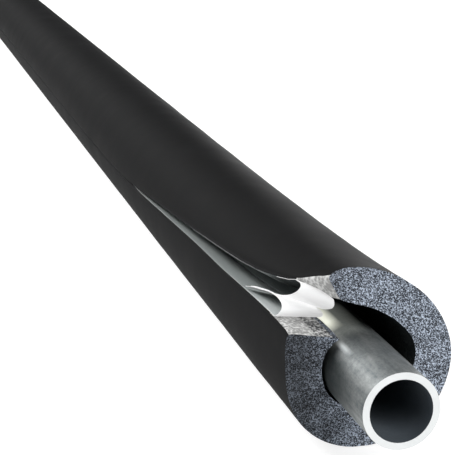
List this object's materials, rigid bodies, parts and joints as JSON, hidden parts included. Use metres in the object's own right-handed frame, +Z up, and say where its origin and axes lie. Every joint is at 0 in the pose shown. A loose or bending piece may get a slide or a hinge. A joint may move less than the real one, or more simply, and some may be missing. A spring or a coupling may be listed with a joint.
{
  "type": "pipe insulation lagging",
  "caption": "Slit black foam pipe lagging, its slit opened at one end with the white release liners folded back, fitted on a 22 mm steel pipe",
  "frame": {"origin": "on the floor, on the flat facet the lagging lies on, under the bore's centre line and half way along", "axes": "+Y along the pipe, away from the opened end; +Z up; -Z is the outward normal of the facet it lies on"},
  "size_m": [0.0518, 2.066, 0.0546],
  "materials": {
    "closed_cell_foam": "matte skin outside, open-cut cells on the end faces",
    "liner_film": "silk",
    "drawn_steel": "drawn, slightly dull"
  },
  "bodies": {
    "root": {"foam_tube": "closed_cell_foam", "lower_release_liner": "liner_film", "upper_release_liner": "liner_film", "steel_pipe": "drawn_steel"}
  },
  "joints": []
}
